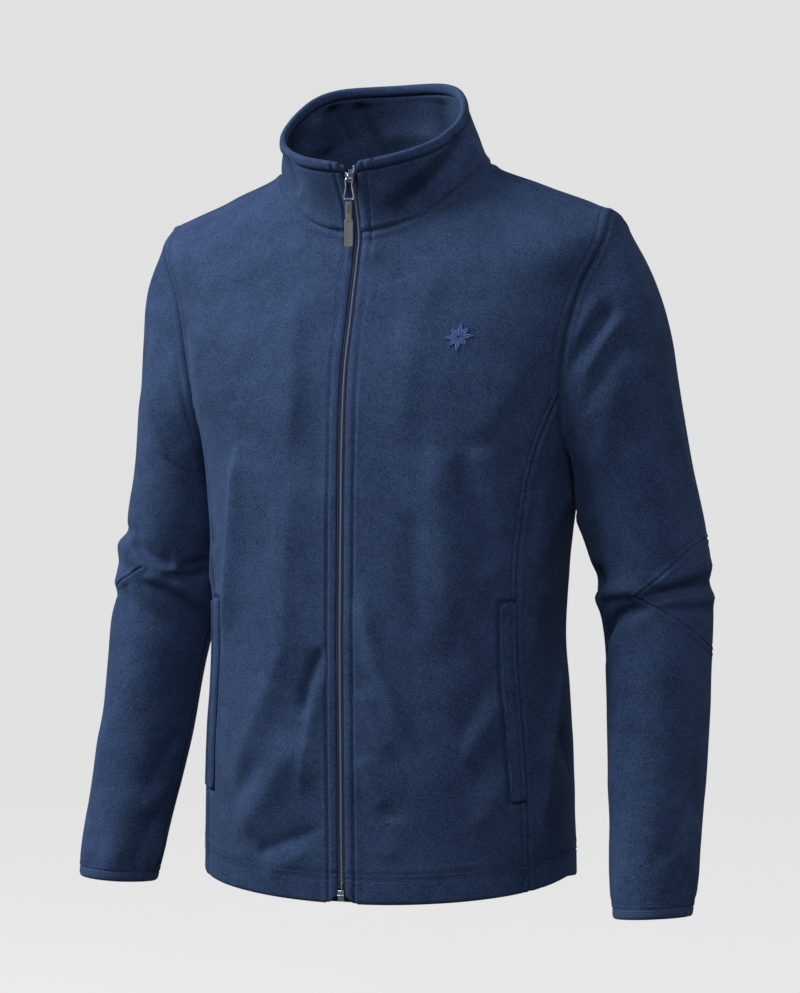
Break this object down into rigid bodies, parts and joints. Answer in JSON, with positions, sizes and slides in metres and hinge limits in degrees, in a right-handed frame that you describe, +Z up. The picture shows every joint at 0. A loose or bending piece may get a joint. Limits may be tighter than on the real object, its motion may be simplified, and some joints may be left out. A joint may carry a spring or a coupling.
{
  "type": "fleece zip jacket",
  "caption": "Fleece jacket in its worn shape, with a stand-up collar, full-length coil zip, side panels, elbow panels, welt pockets and bound cuffs.",
  "frame": {"origin": "middle of the neck, level with the ends of the shoulder seams at the collar, where the jacket hangs on its wearer", "axes": "+Z up, -Y the way the wearer faces, +X to the wearer's left"},
  "size_m": [0.6382, 0.2345, 0.7813],
  "materials": {
    "navy_fleece": "matt brushed fleece with a soft nap",
    "navy_binding": "smooth stretch binding",
    "navy_tape": "woven polyester tape",
    "navy_nylon": "satin nylon coil",
    "slider_metal": "satin plated metal",
    "taupe_pull": "moulded, satin"
  },
  "bodies": {
    "jacket": {"back": "navy_fleece", "collar": "navy_fleece", "front_left": "navy_fleece", "front_right": "navy_fleece", "side_panel_left": "navy_fleece", "side_panel_right": "navy_fleece", "sleeve_left": "navy_fleece", "sleeve_right": "navy_fleece", "elbow_left": "navy_fleece", "elbow_right": "navy_fleece", "pocket_welt_left": "navy_fleece", "pocket_welt_right": "navy_fleece", "cuff_left": "navy_binding", "cuff_right": "navy_binding", "zip_tape_left": "navy_tape", "zip_tape_right": "navy_tape", "zip_coil_left": "navy_nylon", "zip_coil_right": "navy_nylon", "zip_box": "slider_metal", "zip_slider": "slider_metal"},
    "pull_loop": {"pull_loop": "slider_metal"},
    "pull_tab": {"pull_tab": "taupe_pull"}
  },
  "joints": [
    {"name": "loop_swing", "type": "hinge", "parent": "jacket", "child": "pull_loop", "pos_m": [0, -0.10139, -0.01968], "axis": [-1, 0, 0], "range_deg": [-8, 150]},
    {"name": "tab_swing", "type": "hinge", "parent": "pull_loop", "child": "pull_tab", "pos_m": [0, -0.10139, -0.03918], "axis": [-1, 0, 0], "range_deg": [-10, 125]}
  ]
}
